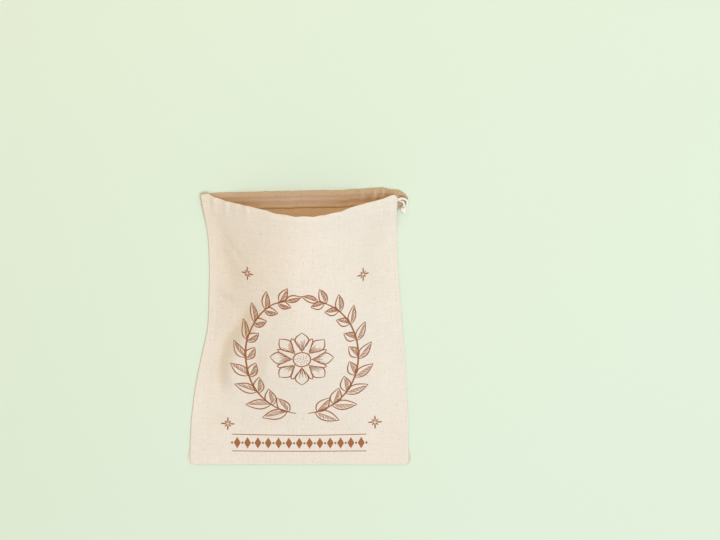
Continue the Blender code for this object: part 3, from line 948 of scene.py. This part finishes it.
STARS = ((-78, 292), (96, 288), (-98, 62), (104, 64))
STAR_RAYS = 8
STAR_RADIUS = 10
STAR_HOLE = 0.16  # shares of a ray
SHORT_RAY = 0.62
RAY_WIDTH = 2.2
BAND_HEIGHT = 34
BAND_SPAN = (-92, 92)
BAND_COUNT = 13
BAND_LINE = (12.5, 1.2)  # distance from the band's middle, and width
LOZENGE = (8.5, 9.6)     # half height and width
DOT = (2, 3.6)


def leftward(run):
    """A direction turned a quarter turn to the left."""
    return np.stack([-run[..., 1], run[..., 0]], axis=-1)


def facing(angle):
    return np.stack([np.cos(angle), np.sin(angle)], axis=-1)


def bowed(start, end, bow=0, shape=1):
    """Points from start to end on a curve that bows to the left by a share of its length."""
    start, end = np.array(start, float), np.array(end, float)
    count = max(3, round(math.dist(start, end) / STROKE_STEP) + 1)
    t = np.linspace(0, 1, count)[:, None]
    return start + (end - start) * t + leftward(end - start) * bow * np.sin(math.pi * t ** shape)


def pen(points, width=OUTLINE):
    return Stroke(points, width, "pen")


def leaf(base, angle, length, width, draw):
    """A leaf's outline, midrib and hatching on its shaded half."""
    run = facing(angle) * length
    bow = 0.5 * width / length
    strokes = [pen(bowed(base, base + run, side * bow, LEAF_BULGE)) for side in (1, -1)]
    strokes.append(pen(bowed(base, base + MIDRIB * run, MIDRIB_BOW), HATCH))
    for t in np.arange(*LEAF_HATCHES):
        inner = base + run * t
        reach = draw.uniform(*HATCH_REACH) * math.sin(math.pi * (t + 0.1) ** LEAF_BULGE)
        outer = inner + HATCH_SLANT * run - bow * reach * leftward(run)
        strokes.append(pen(bowed(inner, outer, HATCH_BOW), HATCH))
    return strokes


def wreath(draw):
    """Two leafy stems that rise from the bottom to both sides and end near each other."""
    strokes = []
    turns = np.radians(np.linspace(*WREATH_TURNS, STEM_POINTS))
    for way in (-1, 1):
        stem = facing(turns) * (way * WREATH_RADII[0], WREATH_RADII[1]) + WREATH_CENTRE
        strokes.append(pen(stem, STEM))
        for i, place in enumerate(LEAF_PLACES):
            run = stem[place + 2] - stem[place]
            heading = math.atan2(run[1], run[0])
            size = 1 - LEAF_SHRINK * i / len(LEAF_PLACES)
            for side in (-1, 1):
                lean = heading + side * draw.uniform(*LEAF_LEAN)
                length = size * LEAF_LENGTH * (INNER_LEAF if side == way else OUTER_LEAF)
                base = stem[place + 1] if side > 0 else stem[place]
                strokes += leaf(base, lean, length, size * LEAF_WIDTH, draw)
        run = stem[-1] - stem[-3]
        heading = math.atan2(run[1], run[0])
        strokes += leaf(stem[-1], heading, END_LEAF[0] * LEAF_LENGTH, END_LEAF[1] * LEAF_WIDTH, draw)
    return strokes


def petal(root, tip, width):
    """The two sides of a petal, widest beyond its middle."""
    run = tip - root
    t = np.linspace(0, 1, PETAL_POINTS)[:, None]
    half = width * np.sin(math.pi * t ** PETAL_BULGE) * (1 - PETAL_TAPER * t)
    return [pen(root + run * t + unit(leftward(run)) * side * half) for side in (1, -1)]


def hatched_petal(centre, out, draw):
    """A large petal with short lines up from its root."""
    width = PETAL_WIDTH * FLOWER_RADIUS
    strokes = petal(centre + PETAL_ROOT * out, centre + out, width)
    root_spread, tip_spread = PETAL_HATCH_SPREAD
    for k in PETAL_HATCHES:
        start = centre + PETAL_HATCH_ROOT * out + root_spread * k * leftward(out)
        end = start + draw.uniform(*PETAL_HATCH_LENGTH) * out + tip_spread * k * leftward(out)
        strokes.append(pen(bowed(start, end), HATCH))
    return strokes


def flower(centre, draw):
    """An open flower: hatched petals with smaller ones between them, round a dotted middle."""
    centre = np.array(centre)
    strokes = []
    for i in range(2 * PETALS):
        out = facing(math.pi * i / PETALS) * FLOWER_RADIUS
        if i % 2 == 0:
            strokes += hatched_petal(centre, out, draw)
        else:
            for side in (-SMALL_PETAL_WIDTH, SMALL_PETAL_WIDTH):
                start = centre + SMALL_PETAL[0] * out + side * leftward(out)
                strokes.append(pen(bowed(start, centre + SMALL_PETAL[1] * out, side)))
    rim = centre + EYE_RIM * FLOWER_RADIUS * facing(np.linspace(0, 2 * math.pi, EYE_POINTS))
    strokes.append(Stroke(rim, OUTLINE, "even"))
    for i in range(EYE_DOTS):
        out = EYE * FLOWER_RADIUS * math.sqrt((i + 0.5) / EYE_DOTS)
        spot = centre + out * facing(GOLDEN_TURN * i)
        half = (EYE_DOT[0], 0)
        strokes.append(Stroke(bowed(spot - half, spot + half), EYE_DOT[1], "lens"))
    return strokes


def star(centre):
    strokes = []
    for i in range(STAR_RAYS):
        reach = STAR_RADIUS * (SHORT_RAY if i % 2 else 1)
        out = facing(2 * math.pi * i / STAR_RAYS) * reach
        strokes.append(Stroke(bowed(centre + STAR_HOLE * out, centre + out), RAY_WIDTH, "lens"))
    return strokes


def upright(x, half, width, shape):
    """A mark in the band, over and under its middle line."""
    return Stroke(bowed((x, BAND_HEIGHT - half), (x, BAND_HEIGHT + half)), width, shape)


def band():
    """A row of solid lozenges with dots between them, under and over a thin line."""
    start, end = BAND_SPAN
    spots = np.linspace(start, end, 2 * BAND_COUNT + 1)
    strokes = [upright(x, *LOZENGE, "lozenge") for x in spots[1::2]]
    strokes += [upright(x, *DOT, "lens") for x in spots[::2]]
    distance, width = BAND_LINE
    for height in (BAND_HEIGHT - distance, BAND_HEIGHT + distance):
        strokes.append(Stroke(bowed((start, height), (end, height)), width, "even"))
    return strokes


def stroke_widths(stroke, t):
    """The stroke's width along its length: a pen's, a lens's, a lozenge's or an even one."""
    if stroke.shape == "pen":
        pressure = np.sin(math.pi * np.interp(t, (0, 1), PEN_SPAN)) ** PEN_SWELL
        return stroke.width * (PEN_TIP + (1 - PEN_TIP) * pressure)
    if stroke.shape == "lens":
        return stroke.width * np.sqrt(np.clip(1 - (2 * t - 1) ** 2, 0.02, 1))
    if stroke.shape == "lozenge":
        return stroke.width * np.clip(1 - np.abs(2 * t - 1), 0.03, 1)
    return np.full(len(t), stroke.width)


def between(values, place):
    """Read an array at a place between its whole indices."""
    low = min(int(place), len(values) - 2)
    return values[low] + (values[low + 1] - values[low]) * (place - low)


class ClothMap:
    """Finds the point of the front cloth's face that lies at a place of the flat cloth."""

    def __init__(self, grid, weave):
        self.grid, self.weave = grid, weave
        self.normals = unit(np.cross(np.gradient(grid, axis=1), np.gradient(grid, axis=0)))
        self.heights = weave[:len(BOTTOM_ROWS) + FRONT_ROWS, grid.shape[1] // 2, 1]

    def at(self, across, down):
        row = np.interp(down, self.heights, np.arange(len(self.heights)))
        places = between(self.weave[:, :, 0], row)
        column = np.interp(across, places, np.arange(len(places)))
        point, normal = [between(between(values, row), column) for values in (self.grid, self.normals)]
        return point + normal * PRINT_LIFT


def make_print(cloth_map, material):
    """The printed strokes as thin ribbons on the front cloth."""
    draw = random.Random(DESIGN_SEED)
    strokes = wreath(draw) + flower(WREATH_CENTRE, draw) + band()
    for place in STARS:
        strokes += star(place)
    points, faces, weave = [], [], []
    for stroke in strokes:
        places = walked(stroke.points)
        widths = stroke_widths(stroke, places / places[-1])
        side = 0.5 * leftward(unit(np.gradient(stroke.points, axis=0))) * widths[:, None]
        first = len(points)
        for middle, offset in zip(stroke.points, side):
            for place in (middle + offset, middle - offset):
                points.append(cloth_map.at(*place))
                weave.append((*place, 0))
        for i in range(first, len(points) - 2, 2):
            faces.append((i, i + 1, i + 3, i + 2))
    ink = add_piece("printed_design", points, faces, weave, "front_linen", material, smooth=False)
    layer = ink.modifiers.new("layer of ink", "SOLIDIFY")
    layer.thickness = INK_THICKNESS * MM
    layer.offset = -1
    return ink


# Cord, knot and sewing

def smooth_route(route, step):
    """Points about step apart along a smooth curve through the route's own points."""
    points = [Vector(point) for point in route]
    points = [2 * points[0] - points[1]] + points + [2 * points[-1] - points[-2]]
    smooth = []
    for before, start, end, after in zip(points, points[1:], points[2:], points[3:]):
        pieces = max(1, round((end - start).length / step))
        for k in range(pieces):
            t = k / pieces
            smooth.append(0.5 * (2 * start + (end - before) * t
                                 + (2 * before - 5 * start + 4 * end - after) * t ** 2
                                 + (3 * start - before - 3 * end + after) * t ** 3))
    smooth.append(Vector(route[-1]))
    return np.array([tuple(point) for point in smooth])


def casing_run(side, start, end, depth):
    """Route points of the cord in a casing, from one x to another."""
    x = np.linspace(start, end, round(abs(end - start) / RUN_STEP) + 1)
    y = rim_line(side, x) - depth
    z = np.full(len(x), CLOTH + 0.5 * TUNNEL_HEIGHT)
    if side == "front":
        z = front_face(x, y) - z * steepness(x, y)
    return [tuple(point) for point in np.stack([x, y, z], axis=1)]


def drawstring_route():
    front_run = casing_run("front", *FRONT_RUN, FRONT_RUN_DEPTH)
    back_run = casing_run("back", *BACK_RUN, BACK_RUN_DEPTH)
    whole = list(FRONT_STRAND) + front_run + list(LEFT_TURN) + back_run + list(BACK_STRAND)
    return smooth_route(whole, CORD_RING_STEP)


def twisted_tube(name, route, radius, material):
    """A cord of twisted strands along a route, closed at both ends."""
    runs = unit(np.gradient(route, axis=0))
    side = np.cross(runs[0], (0, 0, 1))
    turns = 2 * math.pi * np.arange(CORD_SIDES) / CORD_SIDES
    points, weave = [], []
    for place, run, length in zip(route, runs, walked(route)):
        side = unit(side - run * np.dot(side, run))
        up = np.cross(run, side)
        twist = 2 * math.pi * length / CORD_LAY
        lobe = np.abs(np.cos(0.5 * CORD_STRANDS * (turns - twist))) ** STRAND_ROUNDNESS
        reach = radius * (1 - CORD_GROOVE + CORD_GROOVE * lobe)
        for turn, out in zip(turns, reach):
            points.append(place + out * (side * math.cos(turn) + up * math.sin(turn)))
            weave.append((radius * (turn - twist), length, 0))
    faces = tube_faces(len(route), CORD_SIDES, True)
    return add_piece(name, points, faces, weave, "cotton_cord", material)


def make_knot(material):
    """The knot in the doubled cord, drawn tight, as one strand that winds like a trefoil."""
    t = np.linspace(0, 2 * math.pi, KNOT_POINTS)
    x = np.sin(t) + 2 * np.sin(2 * t)
    y = np.cos(t) - 2 * np.cos(2 * t)
    loop = np.stack([x, y, -np.sin(3 * t)], axis=1) * KNOT_SPREAD + KNOT_CENTRE
    return twisted_tube("cord_knot", loop, KNOT_STRAND, material)


def read_line(values, places, at):
    """The point or direction at a distance along a line."""
    return np.array([np.interp(at, places, column) for column in values.T])


def stitch_points(line, normals, places, start):
    """The rings of one stitch, a small rounded bar on the cloth."""
    points = []
    for ring in STITCH_RINGS:
        at = start + STITCH_LENGTH * ring.share
        middle = read_line(line, places, at)
        run = unit(read_line(line, places, at + STITCH_LOOK_AHEAD) - middle)
        normal = read_line(normals, places, at)
        normal = unit(normal - run * np.dot(normal, run))
        for k in range(STITCH_SIDES):
            turn = 2 * math.pi * k / STITCH_SIDES
            out = normal * math.cos(turn) + np.cross(run, normal) * math.sin(turn)
            points.append(middle + STITCH_RADIUS * (ring.lift * normal + ring.swell * out))
    return points


def make_stitches(name, line, normals, slot_name, material):
    """A row of short stitches along a line on a cloth."""
    places = walked(line)
    bar = tube_faces(len(STITCH_RINGS), STITCH_SIDES, False)
    points, faces, weave = [], [], []
    start = STITCH_GAP
    while start + STITCH_LENGTH < places[-1] - STITCH_GAP:
        stitch = stitch_points(line, normals, places, start)
        faces += [tuple(len(points) + i for i in face) for face in bar]
        weave += [(start, STITCH_GRAIN * k, 0) for k in range(len(stitch))]
        points += stitch
        start += STITCH_LENGTH + STITCH_GAP
    return add_piece(name, points, faces, weave, slot_name, material)


# Camera, light and floor

def make_camera():
    """The photograph's view: the bag left of the middle, from above and a little from its mouth."""
    width = FRAME_WIDTH * PIXEL * MM
    centre_x = (0.5 * FRAME_WIDTH - CENTRE_LINE_PX) * PIXEL
    centre_y = (BOTTOM_EDGE_PX - 0.5 * FRAME_HEIGHT) * PIXEL / math.cos(TILT)
    target = Vector(world((centre_x, centre_y, 0)))
    data = bpy.data.cameras.new("camera")
    data.sensor_width = SENSOR
    data.lens = SENSOR * CAMERA_DISTANCE / width
    data.clip_end = 5 * CAMERA_DISTANCE
    camera = add_object("camera", data)
    camera.location = target + CAMERA_DISTANCE * Vector((0, math.sin(TILT), math.cos(TILT)))
    camera.rotation_euler = (-TILT, 0, 0)
    bpy.context.scene.camera = camera


def make_lamp(lamp):
    data = bpy.data.lights.new(lamp.name, "AREA")
    data.shape = "DISK"
    data.size = lamp.size
    data.energy = lamp.energy
    data.color = lamp.colour
    light = add_object(lamp.name, data)
    light.location = lamp.place
    light.rotation_mode = "QUATERNION"
    light.rotation_quaternion = (Vector(lamp.target) - Vector(lamp.place)).to_track_quat("-Z", "Y")


def make_studio():
    for lamp in LAMPS:
        make_lamp(lamp)
    sky = bpy.data.worlds.new("studio")
    sky.use_nodes = True
    background = sky.node_tree.nodes["Background"]
    background.inputs["Color"].default_value = (*SKY, 1)
    background.inputs["Strength"].default_value = SKY_STRENGTH
    bpy.context.scene.world = sky
    bpy.ops.mesh.primitive_plane_add(size=FLOOR_SIZE, location=(0, 0, -FLOOR_DROP))
    floor = bpy.context.object
    floor.name = "floor"
    material, sockets = new_material("floor", roughness=0.9, sheen=0)
    sockets["Base Color"].default_value = (*FLOOR, 1)
    floor.data.materials.append(material)
    bpy.context.scene.view_settings.view_transform = "Standard"


def main():
    linen = linen_material("linen", LINEN, FOLD_PAINTED_SHADE)
    # the inside material: the linen with painted shade, and the casing's painted shade mixed in
    inside = linen_material("linen_inside_painted_shade", SHADED_INSIDE_LINEN, OPEN_END_PAINTED_SHADE)
    thread = cotton_material("sewing_thread", LINEN)
    cotton = cotton_material("cotton_cord", COTTON)
    make_camera()
    cord_line = drawstring_route()
    cord = twisted_tube("draw_cord", cord_line, CORD_RADIUS, cotton)
    front, grid, weave = make_cloth("front", FRONT_ROWS, FRONT_COLUMNS, linen, inside)
    back, back_grid, _ = make_cloth("back", BACK_ROWS, BACK_COLUMNS, linen, inside)
    knot = make_knot(cotton)
    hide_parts("drawstring")
    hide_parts("drawstring_knot")
    cloth_map = ClothMap(grid, weave)
    design = make_print(cloth_map, ink_material())
    row = stations(FRONT_ROWS).index(FRONT_STITCH_ROW)
    span = slice(STITCH_MARGIN, -STITCH_MARGIN)
    front_stitches = make_stitches("casing_stitches", grid[row, span],
                                   cloth_map.normals[row, span], "front_linen", thread)
    inner_line = back_grid[stations(BACK_ROWS).index(BACK_STITCH_ROW), span]
    up = np.tile((0, 0, 1), (len(inner_line), 1))
    back_stitches = make_stitches("inner_casing_stitches", inner_line, up, "back_linen", thread)
    flat_width = (section("right", 0) - section("left", 0)) * MM
    make_studio()


main()
